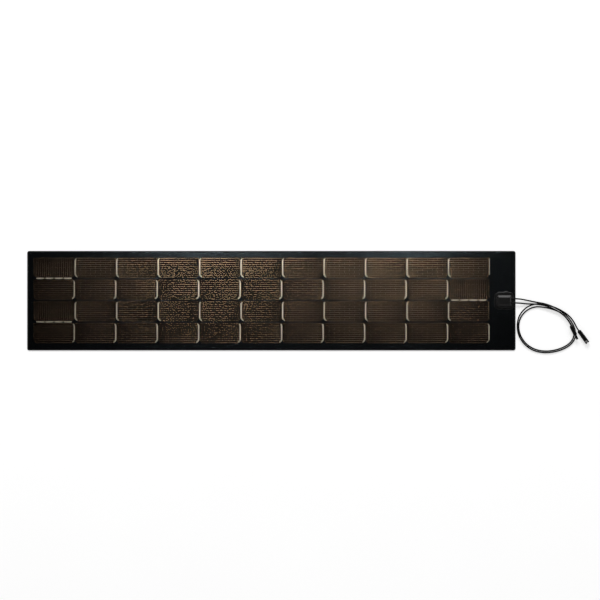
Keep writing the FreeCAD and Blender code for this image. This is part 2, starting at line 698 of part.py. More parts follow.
def clamping_cage():
    """Slotted collar that grips the cable inside the nut."""
    cage = turned([
        (2.9, CAGE_BORE_RADIUS), (2.9, 4.2), (4.4, 5.0), (7.4, 5.0), (7.6, 4.3), (9.5, 4.3),
        (9.5, CAGE_BORE_RADIUS),
    ])
    slots = []
    for index in range(3):
        slot = block(2, 6.5, -0.4, 0.4, -6, 6)
        slots.append(slot.rotate(Vector(0, 0, 0), Vector(1, 0, 0), index * 60))
    return cage.cut(Part.makeCompound(slots))


def cable_seal():
    """Rubber ring around the cable, inside the spigot."""
    return turned([(10, CABLE_RADIUS), (10, 4.1), (10.6, SEAL_RADIUS), (15.4, SEAL_RADIUS),
                   (16, 4.1), (16, CABLE_RADIUS)])


def rear_half():
    """The part of a housing that both connectors share: spigot and flange."""
    spigot = rod(SPIGOT_RADIUS, SPIGOT_START, FLANGE_START)
    flange = rod(NUT_RADIUS, FLANGE_START, BODY_START)
    flats = [block(FLANGE_START, BODY_START, -9, 9, s * 8.5 - 1.5, s * 8.5 + 1.5) for s in (-1, 1)]
    return spigot.fuse(flange.cut(Part.makeCompound(flats)))


def bored(housing, end):
    """Cut the seal's chamber and the contact's bore through a housing."""
    chamber = rod(SEAL_RADIUS, SPIGOT_START, CABLE_END)
    return housing.cut(chamber).cut(rod(CONTACT_BORE_RADIUS, CABLE_END, end)).removeSplitter()


def o_ring(minor):
    """Ring round the probe."""
    return Part.makeTorus(PROBE_RADIUS - 0.1, minor, Vector(O_RING_X, 0, 0), Vector(1, 0, 0))


def socket_housing():
    """Housing with a slim probe; the latch arms stand beside it."""
    body = rod(7.3, BODY_START, SOCKET_BODY_END)
    waist = block(27, 36, -8, 8, 6.3, 8)
    lower_waist = block(27, 36, -8, 8, -8, -6.3)
    body = body.cut(waist).cut(lower_waist)
    probe = turned([
        (SOCKET_BODY_END, 0), (SOCKET_BODY_END, PROBE_RADIUS), (SOCKET_LENGTH - 1.2, PROBE_RADIUS),
        (SOCKET_LENGTH, PROBE_RADIUS - 0.7), (SOCKET_LENGTH, 0),
    ])
    housing = bored(rear_half().multiFuse([body, probe]), SOCKET_LENGTH)
    return housing.cut(o_ring(0.8))


def latch_arm(side):
    """Springy finger beside the probe, with a hook at its tip; side is +1 above, -1 below."""
    outline = [
        (ARM_START, ARM_INNER), (ARM_START, ARM_OUTER), (ARM_END - 5, ARM_OUTER),
        (ARM_END - 4, ARM_HOOK), (ARM_END - 2, ARM_HOOK), (ARM_END, ARM_INNER + 0.7),
        (ARM_END, ARM_INNER),
    ]
    corners = [Vector(x, -3, side * z) for x, z in outline]
    face = Part.Face(Part.makePolygon(corners + corners[:1]))
    return face.extrude(Vector(0, 6, 0))


def socket_contact():
    """Metal tube: crimp barrel behind, round socket in front."""
    return turned([
        (16.5, BARREL_BORE_RADIUS), (16.5, BARREL_RADIUS), (28, BARREL_RADIUS),
        (28, CONTACT_BORE_RADIUS), (29.5, CONTACT_BORE_RADIUS), (29.5, 2.8), (57, 2.8),
        (57, SOCKET_BORE_RADIUS), (37, SOCKET_BORE_RADIUS), (37, 0), (27, 0),
        (27, BARREL_BORE_RADIUS),
    ])


def pin_housing():
    """Housing with a round shell, two latch windows and two notches at its mouth."""
    shell = turned([
        (BODY_START, 0), (BODY_START, 7.4), (26, SHELL_RADIUS), (PIN_LENGTH - 1, SHELL_RADIUS),
        (PIN_LENGTH, SHELL_RADIUS - 0.6), (PIN_LENGTH, SHELL_BORE_RADIUS),
        (SHELL_BORE_START, SHELL_BORE_RADIUS), (SHELL_BORE_START, 0),
    ])
    housing = bored(rear_half().fuse(shell), SHELL_BORE_START)
    for side in (-1, 1):
        low, high = sorted((side * 4.5, side * 9))
        housing = housing.cut(block(46.5, 53, -3.4, 3.4, low, high))
        housing = housing.cut(block(PIN_LENGTH - 2.6, PIN_LENGTH, -3.4, 3.4, low, high))
    return housing


def pin_contact():
    """Metal pin: crimp barrel behind, round pin in front."""
    return turned([
        (16.5, BARREL_BORE_RADIUS), (16.5, BARREL_RADIUS), (28, BARREL_RADIUS),
        (28, CONTACT_BORE_RADIUS), (29.5, CONTACT_BORE_RADIUS), (29.5, 2.8),
        (PIN_START, 2.8), (PIN_START, PIN_RADIUS), (PIN_TIP - 1, PIN_RADIUS),
        (PIN_TIP, 1.1), (PIN_TIP, 0), (27, 0),
        (27, BARREL_BORE_RADIUS),
    ])


def conductor_end():
    """Bare end of a cable inside a contact's barrel."""
    return rod(CONDUCTOR_RADIUS, CABLE_END, 26.5)


# ---------------------------------------------------------------- the whole panel

def save_laminate():
    save("back_sheet", sheet(0, BOARD_BOTTOM))
    save("support_board", sheet(BOARD_BOTTOM, REAR_BOTTOM))
    save("rear_encapsulant", rear_encapsulant())
    save("front_encapsulant", front_encapsulant())
    save("front_film", sheet(FILM_BOTTOM, PANEL_TOP).cut(ribbon_slot(FILM_BOTTOM, PANEL_TOP)))
    save("edge_seal", edge_seal())
    save("bus_cover_film", bus_cover_film())


def save_string():
    cross, wide_end = cross_grid(END_LINE_WIDTH), cross_grid(END_STRIP_WIDTH)
    upright = upright_grid()
    for row in range(ROWS):
        save("cell_row_%d" % (row + 1), row_of_cells(row))
        save("grid_row_%d" % (row + 1), row_of_grids(row, cross, wide_end, upright))
    save("positive_bus_ribbon", bus_ribbon(1))
    save("negative_bus_ribbon", bus_ribbon(-1))


def save_junction_box():
    save("sealant_bead", sealant_bead())
    save("junction_box_base", junction_box_base())
    save("junction_box_lid", junction_box_lid())
    save("lid_gasket", lid_gasket())
    save("positive_terminal", terminal(1))
    save("negative_terminal", terminal(-1))
    save("bypass_diode", bypass_diode())
    save("positive_cable_boot", cable_boot(1))
    save("negative_cable_boot", cable_boot(-1))
    save("cable_clamp", cable_clamp())
    save("clamp_screws", clamp_screws())
    save("box_conductor_ends", box_conductor_ends())


def save_connector_rear(name, route):
    save(name + "_gland_nut", placed(gland_nut(), route))
    save(name + "_clamping_cage", placed(clamping_cage(), route))
    save(name + "_cable_seal", placed(cable_seal(), route))
    save(name + "_conductor_end", placed(conductor_end(), route))


def save_cables():
    save("long_cable", cable("long", LONG_ROUTE))
    save("short_cable", cable("short", SHORT_ROUTE))
    save_connector_rear("pin", LONG_ROUTE)
    save("pin_housing", placed(pin_housing(), LONG_ROUTE))
    save("pin_contact", placed(pin_contact(), LONG_ROUTE))
    save_connector_rear("socket", SHORT_ROUTE)
    save("socket_housing", placed(socket_housing(), SHORT_ROUTE))
    save("socket_contact", placed(socket_contact(), SHORT_ROUTE))
    save("socket_o_ring", placed(o_ring(0.8), SHORT_ROUTE))
    save("upper_latch_arm", placed(latch_arm(1), SHORT_ROUTE))
    save("lower_latch_arm", placed(latch_arm(-1), SHORT_ROUTE))


os.makedirs("parts", exist_ok=True)
save_laminate()
save_string()
save_junction_box()
save_cables()
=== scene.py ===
import math
import bmesh
import bpy
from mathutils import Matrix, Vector


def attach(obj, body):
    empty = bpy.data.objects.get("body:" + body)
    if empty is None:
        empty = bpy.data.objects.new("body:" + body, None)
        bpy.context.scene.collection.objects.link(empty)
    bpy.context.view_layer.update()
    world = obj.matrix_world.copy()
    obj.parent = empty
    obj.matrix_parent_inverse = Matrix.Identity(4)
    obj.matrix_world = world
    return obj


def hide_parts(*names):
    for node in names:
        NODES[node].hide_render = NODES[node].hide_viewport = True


# Thin bendable solar panel seen from straight above. Metres; the origin is the middle of the
# panel's underside, +X runs towards the junction box and +Z out through the front film.

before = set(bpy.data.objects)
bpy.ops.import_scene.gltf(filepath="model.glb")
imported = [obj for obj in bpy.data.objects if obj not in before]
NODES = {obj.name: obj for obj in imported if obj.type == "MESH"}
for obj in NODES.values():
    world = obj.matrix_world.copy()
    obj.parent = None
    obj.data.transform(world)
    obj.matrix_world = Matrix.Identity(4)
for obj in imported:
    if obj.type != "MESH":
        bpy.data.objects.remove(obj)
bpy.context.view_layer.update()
MM = 0.001

# ---------------------------------------------------------------- camera, floor and lights

VIEW_CENTRE = (0.109, 0.0027)
VIEW_WIDTH = 2.286
CAMERA_HEIGHT = 9.0
SENSOR = 36.0
FLOOR_REACH = 30.0
FLOOR_DROP = 0.00005
FLOOR_GLOW = 0.6
# The world's brightness against how far up it lies: pale walls under a dark ceiling.
WORLD_STOPS = ((0.0, 0.5), (0.6, 0.36), (0.8, 0.03), (1.0, 0.02))
SIDE_LIGHT_PLACE = (0.1, 7.0, 5.0)
SIDE_LIGHT_TARGET = (0.1, 0, 0)
SIDE_LIGHT_SIZE = (5, 3)
SIDE_LIGHT_POWER = 330
# Each softbox's name, its two ends along X and its radiance.
SOFTBOXES = (("overhead left", -0.98, -0.14, 5.1), ("overhead right", 0.66, 1.14, 6.4))
SOFTBOX_NEAR = 0.3
SOFTBOX_FAR = 1.3

# ---------------------------------------------------------------- cables

# Routes in millimetres, from inside the junction box to inside the connector.
CABLE_DIAMETER = 5.5 * MM
LONG_ROUTE = [
    (899, 8.2, 11), (938, 8.2, 11), (974, 1.5, 5.5), (1009, -6, 2.8), (1044, -11.5, 2.8),
    (1080, -25.5, 2.8), (1114, -46, 2.8), (1139, -73, 2.8), (1156.5, -105, 2.8),
    (1160, -139.5, 2.8), (1141, -168, 2.8), (1108, -187, 2.8), (1070, -197, 2.8),
    (1032, -198.5, 2.8), (995, -189.5, 2.8), (962, -166, 5.5), (941, -133, 8.6),
    (934.5, -96, 8.6), (942, -57, 8.6), (968, -25.5, 8.6), (1004, -11, 8.6),
    (1040, -13.5, 8.6), (1074, -23, 8.6), (1105, -37.5, 8.6), (1132, -55.5, 7),
    (1150.5, -78, 7.5), (1162.8, -103.6, 8.5), (1170.4, -114.1, 8.5),
    (1179.2, -126.3, 8.5),
]
SHORT_ROUTE = [
    (899, -8.2, 11), (938, -8.2, 11), (973, -12.5, 5.5), (1007, -12.8, 2.8), (1042, -18, 2.8),
    (1077, -31.5, 2.8), (1109.5, -51, 2.8), (1134, -77, 2.8), (1150.5, -107.5, 2.8),
    (1153.5, -137.5, 2.8), (1137, -163, 2.8), (1106, -181, 2.8), (1070, -191, 2.8),
    (1033, -192.5, 2.8), (998, -184, 2.8), (967, -162.5, 2.8), (947, -131.5, 2.8),
    (940, -97, 2.8), (948.5, -62, 2.8), (973, -35, 2.8), (1005, -22, 2.8),
    (1040, -25, 5.5), (1071, -32.5, 8.6), (1099, -43.5, 9.2), (1119, -60, 11.5),
    (1135.2, -83.6, 13.6), (1140.7, -95.4, 13.6), (1147, -109, 13.6),
]

# ---------------------------------------------------------------- cells and their grids

# Millimetres. Each cell lies along X; its two lower corners, at -Y, are cut off.
COLUMNS = 11
ROWS = 4
COLUMN_PITCH = 158.0
ROW_PITCH = 83.0
FIELD_MIDDLE = (-38.0, 0.9)
FIELD_CORNER = (FIELD_MIDDLE[0] - COLUMNS * COLUMN_PITCH / 2,
                FIELD_MIDDLE[1] - ROWS * ROW_PITCH / 2)
CELL_HALF_LENGTH = 78.0
CELL_HALF_WIDTH = 39.0
CHAMFER = 9.5
GRID_BOTTOM = 1.9
GRID_TOP = 2.0
FINGER_PITCH = 8.0
CROSS_FINGERS = 10
UPRIGHT_FINGERS = 20
CROSS_HALF = (CROSS_FINGERS - 1) / 2 * FINGER_PITCH
UPRIGHT_HALF = (UPRIGHT_FINGERS - 1) / 2 * FINGER_PITCH
FINGER_NEAR_BAR = 2.2
FINGER_FAR = 1.0
FINGER_END_GAP = 0.4
BAR_OVERLAP = 0.3
END_MARGIN = 0.6
UPRIGHT_MARGIN = 1.9
LINE_BEVEL = 0.03
BAR_BEVEL = 0.06
# Places of the two materials on a row of grids.
LINE_FINISH = 0
BAR_FINISH = 1
TIE_WIDTH = 0.7
TIE_SPACING = 38.0
TIE_MARGIN = 4 * TIE_WIDTH
LINE_WIDTH = 0.8
WIDE_LINE = 3.0
BAR_WIDTH = 4.0
BAR_MIDDLE = 77.1
BAR_END_RADIUS = 9.0
BAR_END_ANGLE = 60
BAR_END_STEPS = 5
# Points are (distance along X, Y), from the bar's middle and from the tab's end.
BAR_FOOT = ((0, -25.5), (-2.6, -29.8), (-8.4, -35.6))
BAR_FOOT_SHARES = (1.0, 0.8, 0.4)
TAB_COUNT = 4
TAB_PITCH = 35.0
TAB_END = ((0, -39.0), (1.5, -39.7), (4, -40.0))
TAB_END_WIDTHS = (1.6, 3.4, 4.2)
TAB_HALF_WIDTH = 15.0

# ---------------------------------------------------------------- sealant round the junction box

# Millimetres. The profile's points are a share of the bead's width and a height above the film.
PANEL_TOP = 2.6
FLANGE_MIDDLE_X = 885.5
FLANGE_HALF = (31.5, 28.0)
FLANGE_CABLE_RADIUS = 6
FLANGE_CELL_RADIUS = 15
BEAD_CORNER_STEPS = 8
BEAD_SIDE_STEPS = 16
BEAD_GAP = 0.02
BEAD_WIDTH = 5.6
BEAD_WAVES = ((0.8, 0.23, 0.31), (0.5, 0.61, 0.0))
BLOB_WIDTH = 3.6
BLOB_MIDDLE_X = 893
BLOB_SPREAD = 7
BEAD_PROFILE = ((0, 0), (0, 2.2), (0.2, 2.5), (0.45, 2.2), (0.7, 1.4), (0.9, 0.6), (1, 0))

# ---------------------------------------------------------------- edges of the CAD nodes

# Widths of the rounded edges in millimetres, the least angle of an edge that counts as sharp in
# degrees, and the gap between two layers in metres.
EDGE_ROUNDING = {
    0.5: ("junction_box_base", "junction_box_lid"),
    0.3: ("pin_housing", "socket_housing", "pin_gland_nut", "socket_gland_nut",
          "positive_cable_boot", "negative_cable_boot"),
    0.25: ("upper_latch_arm", "lower_latch_arm", "cable_clamp"),
}
SHARP_ANGLE = 35
HAIRLINE = 0.02 * MM


# ---------------------------------------------------------------- node material helpers

def empty_material(name):
    """Node material with nothing in it but its output."""
    made = bpy.data.materials.new(name)
    made.use_nodes = True
    tree = made.node_tree
    tree.nodes.clear()
    return made, tree, tree.nodes.new("ShaderNodeOutputMaterial")


def material(name):
    """Node material with one Principled shader."""
    made, tree, output = empty_material(name)
    shader = tree.nodes.new("ShaderNodeBsdfPrincipled")
    tree.links.new(shader.outputs["BSDF"], output.inputs["Surface"])
    return made, tree, shader


def coordinates(tree, scale=(1, 1, 1)):
    """Object coordinates, in metres, times a scale."""
    source = tree.nodes.new("ShaderNodeTexCoord")
    mapping = tree.nodes.new("ShaderNodeMapping")
    mapping.inputs["Scale"].default_value = scale
    tree.links.new(source.outputs["Object"], mapping.inputs["Vector"])
    return mapping.outputs["Vector"]


def noise(tree, vector, size, detail=3.0, roughness=0.55):
    """Noise whose blobs are about size metres across."""
    made = tree.nodes.new("ShaderNodeTexNoise")
    made.inputs["Scale"].default_value = 1.0 / size
    made.inputs["Detail"].default_value = detail
    made.inputs["Roughness"].default_value = roughness
    tree.links.new(vector, made.inputs["Vector"])
    return made.outputs["Fac"]


def ramp(tree, value, stops):
    """Colours or greys along a 0 to 1 value; stops are (place, colour)."""
    made = tree.nodes.new("ShaderNodeValToRGB")
    elements = made.color_ramp.elements
    while len(elements) < len(stops):
        elements.new(0.5)
    for element, (place, colour) in zip(elements, stops):
        element.position = place
        element.color = (*colour, 1) if isinstance(colour, tuple) else (colour,) * 3 + (1,)
    tree.links.new(value, made.inputs["Fac"])
    return made.outputs["Color"]


def mottle(tree, value, low, high):
    """Colours or greys from low to high over the middle of a noise's range."""
    return ramp(tree, value, ((0.3, low), (0.7, high)))


def bump(tree, height, strength, distance, *nodes):
    """Feed a height into the normal input of each node."""
    made = tree.nodes.new("ShaderNodeBump")
    made.inputs["Strength"].default_value = strength
    made.inputs["Distance"].default_value = distance
    tree.links.new(height, made.inputs["Height"])
    for node in nodes:
        tree.links.new(made.outputs["Normal"], node.inputs["Normal"])


def moulded(name, dark, light, rough, grain=0.0006, depth=0.00004, strength=0.5, ior=1.5):
    """Moulded plastic or rubber: a mottled colour, uneven gloss and a fine grain."""
    made, tree, shader = material(name)
    place = coordinates(tree)
    tree.links.new(mottle(tree, noise(tree, place, 0.012), dark, light),
                   shader.inputs["Base Color"])
    tree.links.new(mottle(tree, noise(tree, place, 0.005), *rough), shader.inputs["Roughness"])
    shader.inputs["IOR"].default_value = ior
    bump(tree, noise(tree, place, grain, 2.0), strength, depth, shader)
    return made


def metal(name, dark, light, rough, scratch=(1, 1, 1)):
    """Mottled metal; a scratch of (1, 30, 30) draws the mottling out into streaks along X."""
    made, tree, shader = material(name)
    shader.inputs["Metallic"].default_value = 1.0
    streaks = noise(tree, coordinates(tree, scratch), 0.002, 4.0)
    tree.links.new(mottle(tree, streaks, dark, light), shader.inputs["Base Color"])
    tree.links.new(mottle(tree, streaks, *rough), shader.inputs["Roughness"])
    bump(tree, streaks, 0.3, 0.00002, shader)
    return made


def clear(name, ior, rough, dimple, depth):
    """Clear sheet: see-through, with a Fresnel gloss over fine dimples."""
    made, tree, output = empty_material(name)
    mix = tree.nodes.new("ShaderNodeMixShader")
    through = tree.nodes.new("ShaderNodeBsdfTransparent")
    gloss = tree.nodes.new("ShaderNodeBsdfGlossy")
    gloss.inputs["Roughness"].default_value = rough
    fresnel = tree.nodes.new("ShaderNodeFresnel")
    fresnel.inputs["IOR"].default_value = ior
    bump(tree, noise(tree, coordinates(tree), dimple, 2.0), 0.6, depth, gloss, fresnel)
    tree.links.new(fresnel.outputs["Fac"], mix.inputs["Fac"])
    tree.links.new(through.outputs["BSDF"], mix.inputs[1])
    tree.links.new(gloss.outputs["BSDF"], mix.inputs[2])
    tree.links.new(mix.outputs["Shader"], output.inputs["Surface"])
    return made


def border_material():
    """Black pigmented layer that shows round the cells, with a cool satin sheen."""
    made, tree, shader = material("black border")
    place = coordinates(tree)
    tone = mottle(tree, noise(tree, place, 0.05), (0.0006, 0.0006, 0.0009),
                  (0.0012, 0.0012, 0.0016))
    tree.links.new(tone, shader.inputs["Base Color"])
    tree.links.new(mottle(tree, noise(tree, place, 0.02), 0.13, 0.17), shader.inputs["Roughness"])
    shader.inputs["IOR"].default_value = 1.37
    shader.inputs["Specular Tint"].default_value = (0.72, 0.9, 1.0, 1)
    bump(tree, noise(tree, place, 0.03, 2.0), 0.3, 0.00008, shader)
    return made


def cell_material():
    """Silicon under its anti-reflection coat: nearly black, brown, a little different cell by cell."""
    made, tree, shader = material("silicon cell")
    cells = tree.nodes.new("ShaderNodeTexWhiteNoise")
    snap = tree.nodes.new("ShaderNodeVectorMath")
    snap.operation = "SNAP"
    snap.inputs[1].default_value = (COLUMN_PITCH * MM, ROW_PITCH * MM, 1)
    shift = tree.nodes.new("ShaderNodeMapping")
    shift.inputs["Location"].default_value = (-FIELD_CORNER[0] * MM, -FIELD_CORNER[1] * MM, 0)
    source = tree.nodes.new("ShaderNodeTexCoord")
    tree.links.new(source.outputs["Object"], shift.inputs["Vector"])
    tree.links.new(shift.outputs["Vector"], snap.inputs[0])
    tree.links.new(snap.outputs["Vector"], cells.inputs["Vector"])
    tone = ramp(tree, cells.outputs["Value"], ((0.0, (0.0018, 0.0009, 0.0007)),
                                               (0.6, (0.0028, 0.0013, 0.0009)),
                                               (1.0, (0.0042, 0.0021, 0.0013))))
    tree.links.new(tone, shader.inputs["Base Color"])
    place = coordinates(tree)
    tree.links.new(mottle(tree, noise(tree, place, 0.03), 0.24, 0.30), shader.inputs["Roughness"])
    shader.inputs["IOR"].default_value = 1.11
    shader.inputs["Specular Tint"].default_value = (1.0, 0.45, 0.25, 1)
    bump(tree, noise(tree, place, 0.0008, 2.0), 0.25, 0.00002, shader)
    return made


# ---------------------------------------------------------------- pieces

def strip(mesh, path, widths, bevel, finish):
    """Low ridge along a path of (x, y) points in millimetres, on top of the cells.

    widths gives the ridge's width at each point, bevel the run of its sloping sides, and finish
    the number of its material.
    """
    rings = []
    for index, (x, y) in enumerate(path):
        before = Vector(path[max(0, index - 1)])
        after = Vector(path[min(len(path) - 1, index + 1)])
        ahead = (after - before).normalized()
        side = Vector((-ahead.y, ahead.x))
        ring = []
        half = widths[index] / 2
        for offset, height in ((half, GRID_BOTTOM), (half - bevel, GRID_TOP),
                               (bevel - half, GRID_TOP), (-half, GRID_BOTTOM)):
            place = Vector((x, y)) + side * offset
            ring.append(mesh.verts.new((place.x * MM, place.y * MM, height * MM)))
        rings.append(ring)
    for end in (rings[0][::-1], rings[-1]):
        mesh.faces.new(end).material_index = finish
    for ring, following in zip(rings, rings[1:]):
        join_rings(mesh, ring, following, finish)


def join_rings(mesh, ring, following, finish=0):
    """Faces between two closed rings with the same number of points."""
    for corner in range(len(ring)):
        beyond = (corner + 1) % len(ring)
        quad = (ring[corner], ring[beyond], following[beyond], following[corner])
        mesh.faces.new(quad).material_index = finish


def tie_places(gap, low, high):
    """Where the ties between two fingers stand; they step like brickwork."""
    place = low + (TIE_SPACING / 2 if gap % 2 else TIE_SPACING)
    places = []
    while place < high - TIE_MARGIN:
        places.append(place)
        place += TIE_SPACING
    return places


def finger_reach(across, half_length, half_width):
    """How far a line may run towards the cell's cut corner, at a distance across the cell."""
    return min(half_length, half_length + half_width - CHAMFER + across)


def bar_path():
    """Middle line of a collecting bar and its widths: round at the top, cut off below."""
    path = []
    widths = []
    top = CROSS_HALF - BAR_END_RADIUS
    for step in range(BAR_END_STEPS + 1):
        left = 1 - step / BAR_END_STEPS
        angle = math.radians(BAR_END_ANGLE * left)
        path.append((BAR_MIDDLE - BAR_END_RADIUS * (1 - math.cos(angle)),
                     top + BAR_END_RADIUS * math.sin(angle)))
        widths.append(BAR_WIDTH * (1 - left / 2))
    for (x, y), share in zip(BAR_FOOT, BAR_FOOT_SHARES):
        path.append((BAR_MIDDLE + x, y))
        widths.append(BAR_WIDTH * share)
    return path, widths


def cell_pen(mesh, middle, facing=1):
    """Function that draws ridges in a cell's own coordinates; facing -1 mirrors them in X."""
    def draw(path, widths, bevel=LINE_BEVEL, finish=LINE_FINISH):
        moved = [(middle[0] + facing * x, middle[1] + y) for x, y in path]
        strip(mesh, moved, widths, bevel, finish)

    return draw


def cross_grid(draw, far_line):
    """Grid with fingers along X, its bar at +X and a line of width far_line at -X."""
    end = CELL_HALF_LENGTH - END_MARGIN
    bar_side = BAR_MIDDLE - BAR_WIDTH / 2
    for finger in range(CROSS_FINGERS):
        y = -CROSS_HALF + finger * FINGER_PITCH
        reach = finger_reach(y, end, CROSS_HALF + FINGER_END_GAP)
        near = min(reach, bar_side + BAR_OVERLAP)
        draw([(FINGER_END_GAP - reach, y), (near, y)], (FINGER_FAR, FINGER_NEAR_BAR))
    for gap in range(CROSS_FINGERS - 1):
        y = -CROSS_HALF + gap * FINGER_PITCH
        for x in tie_places(gap, far_line - end, bar_side):
            if abs(x) < finger_reach(y, end, CROSS_HALF):
                draw([(x, y), (x, y + FINGER_PITCH)], (TIE_WIDTH, TIE_WIDTH))
    corner = CHAMFER - CROSS_HALF
    far = far_line / 2 - end
    draw([(far, CROSS_HALF), (far, corner)], (far_line, far_line))
    draw([(LINE_WIDTH / 2 - end, corner), (CHAMFER - end, -CROSS_HALF)], (LINE_WIDTH, LINE_WIDTH))
    draw(*bar_path(), BAR_BEVEL, BAR_FINISH)


def tab_path(x):
    """Middle line of a tab about x, rounded at both ends, and its widths."""
    left = [(x - TAB_HALF_WIDTH + along, y) for along, y in TAB_END]
    right = [(x + TAB_HALF_WIDTH - along, y) for along, y in reversed(TAB_END)]
    return left + right, TAB_END_WIDTHS + TAB_END_WIDTHS[::-1]


def upright_grid(draw):
    """Grid with fingers along Y, a line round it and tabs at -Y."""
    half_x = UPRIGHT_HALF
    half_y = CELL_HALF_WIDTH - UPRIGHT_MARGIN
    for finger in range(UPRIGHT_FINGERS):
        x = -half_x + finger * FINGER_PITCH
        foot = max(-half_y, -half_y + CHAMFER - (half_x - abs(x)))
        draw([(x, foot), (x, half_y)], (FINGER_NEAR_BAR, FINGER_FAR))
    for gap in range(UPRIGHT_FINGERS - 1):
        x = -half_x + gap * FINGER_PITCH
        for y in tie_places(gap, -half_y, half_y):
            draw([(x, y), (x + FINGER_PITCH, y)], (TIE_WIDTH, TIE_WIDTH))
    line = (LINE_WIDTH, LINE_WIDTH)
    draw([(-half_x, half_y), (half_x, half_y)], line)
    draw([(CHAMFER - half_x, -half_y), (half_x - CHAMFER, -half_y)], line)
    for side in (-1, 1):
        draw([(side * half_x, CHAMFER - half_y), (side * (half_x - CHAMFER), -half_y)], line)
    for tab in range(TAB_COUNT):
        x = (tab - (TAB_COUNT - 1) / 2) * TAB_PITCH
        draw(*tab_path(x), BAR_BEVEL, BAR_FINISH)


def row_of_grids(row):
    """One row's grids as one mesh; the string changes row through the turned cells."""
    mesh = bmesh.new()
    bars_at_left = row % 2 == 0
    for column in range(COLUMNS):
        middle = (FIELD_MIDDLE[0] + (column - (COLUMNS - 1) / 2) * COLUMN_PITCH,
                  FIELD_MIDDLE[1] - (row - (ROWS - 1) / 2) * ROW_PITCH)
        turned = column == (0 if bars_at_left else COLUMNS - 1) and row < ROWS - 1
        wide = bars_at_left and column == COLUMNS - 1
        if turned:
            upright_grid(cell_pen(mesh, middle))
        else:
            cross_grid(cell_pen(mesh, middle, -1 if bars_at_left else 1),
                       WIDE_LINE if wide else LINE_WIDTH)
    return mesh_object("grid_lines_%d" % (row + 1), mesh, FINGER, BAR)


def flange_edge():
    """Points round the junction box's flange, each with its outward direction, in millimetres."""
    points = []
    half_x, half_y = FLANGE_HALF
    right = FLANGE_MIDDLE_X + half_x - FLANGE_CABLE_RADIUS
    left = FLANGE_MIDDLE_X - half_x + FLANGE_CELL_RADIUS
    corners = [(right, half_y - FLANGE_CABLE_RADIUS, FLANGE_CABLE_RADIUS, 0),
               (left, half_y - FLANGE_CELL_RADIUS, FLANGE_CELL_RADIUS, 90),
               (left, FLANGE_CELL_RADIUS - half_y, FLANGE_CELL_RADIUS, 180),
               (right, FLANGE_CABLE_RADIUS - half_y, FLANGE_CABLE_RADIUS, 270)]
    for (x, y, radius, start), following in zip(corners, corners[1:] + corners[:1]):
        for step in range(BEAD_CORNER_STEPS + 1):
            angle = math.radians(start + 90 * step / BEAD_CORNER_STEPS)
            out = Vector((math.cos(angle), math.sin(angle)))
            points.append((Vector((x, y)) + out * radius, out))
        side_start = points[-1][0]
        side_end = Vector(following[:2]) + out * following[2]
        for step in range(1, BEAD_SIDE_STEPS):
            points.append((side_start.lerp(side_end, step / BEAD_SIDE_STEPS), out))
    return points


def bead_width(place):
    """Width of the hand-laid bead: wavy, and fuller half way along the side at +Y."""
    width = BEAD_WIDTH
    for height, per_x, per_y in BEAD_WAVES:
        width += height * math.sin(place.x * per_x + place.y * per_y)
    if place.y > 0:
        width += BLOB_WIDTH * math.exp(-((place.x - BLOB_MIDDLE_X) / BLOB_SPREAD) ** 2)
    return width


def sealant_bead():
    """Bead of sealant round the flange, rounded and uneven."""
    mesh = bmesh.new()
    rings = []
    for place, out in flange_edge():
        width = bead_width(place)
        ring = []
        for share, height in BEAD_PROFILE:
            spot = (place + out * (BEAD_GAP + width * share)) * MM
            ring.append(mesh.verts.new((*spot, (PANEL_TOP + height) * MM)))
        rings.append(ring)
    for ring, following in zip(rings, rings[1:] + rings[:1]):
        join_rings(mesh, ring, following)
    bmesh.ops.recalc_face_normals(mesh, faces=mesh.faces)
    made = mesh_object("sealant", mesh, SEALANT)
    for face in made.data.polygons:
        face.use_smooth = True
    return made


def mesh_object(name, mesh, *finishes):
    """Object from a bmesh, which is freed."""
    data = bpy.data.meshes.new(name)
    mesh.to_mesh(data)
    mesh.free()
    made = bpy.data.objects.new(name, data)
    bpy.context.scene.collection.objects.link(made)
    for finish in finishes:
        data.materials.append(finish)
    return made


def curve_cable(name, route, finish):
    """Cable as one smooth spline through space with its route's points as control points."""
    data = bpy.data.curves.new(name, "CURVE")
    data.dimensions = "3D"
    data.bevel_depth = CABLE_DIAMETER / 2
    data.bevel_resolution = 8
    data.resolution_u = 16
    data.use_fill_caps = True
    spline = data.splines.new("NURBS")
    spline.points.add(len(route) - 1)
    for point, (x, y, z) in zip(spline.points, route):
        point.co = (x * MM, y * MM, z * MM, 1)
    spline.order_u = 3
    spline.use_endpoint_u = True
    made = bpy.data.objects.new(name, data)
    bpy.context.scene.collection.objects.link(made)
    data.materials.append(finish)
    return made


def soften(node, width):
    """Round a CAD node's sharp edges."""
    made = NODES[node].modifiers.new("round edges", "BEVEL")
    made.width = width
    made.segments = 2
    made.limit_method = "ANGLE"
    made.angle_limit = math.radians(SHARP_ANGLE)
    made.harden_normals = True


def draw_in(node, gap):
    """Draw a CAD node's faces in by a hair, so that they don't coincide with its neighbours'."""
    made = NODES[node].modifiers.new("hairline gap", "DISPLACE")
    made.mid_level = 0
    made.strength = -gap


def paint(finish, *names):
    """Give CAD nodes one material."""
    for name in names:
        made = NODES[name]
        for slot in made.material_slots:
            slot.material = finish
        if not made.material_slots:
            made.data.materials.append(finish)


def add_camera():
    """Camera looking straight down, with VIEW_WIDTH metres of the floor across the picture."""
    data = bpy.data.cameras.new("camera")
    data.sensor_width = SENSOR
    data.lens = SENSOR * CAMERA_HEIGHT / VIEW_WIDTH
    data.clip_end = 50
    made = bpy.data.objects.new("camera", data)
    made.location = (*VIEW_CENTRE, CAMERA_HEIGHT)
    bpy.context.scene.collection.objects.link(made)
    bpy.context.scene.camera = made


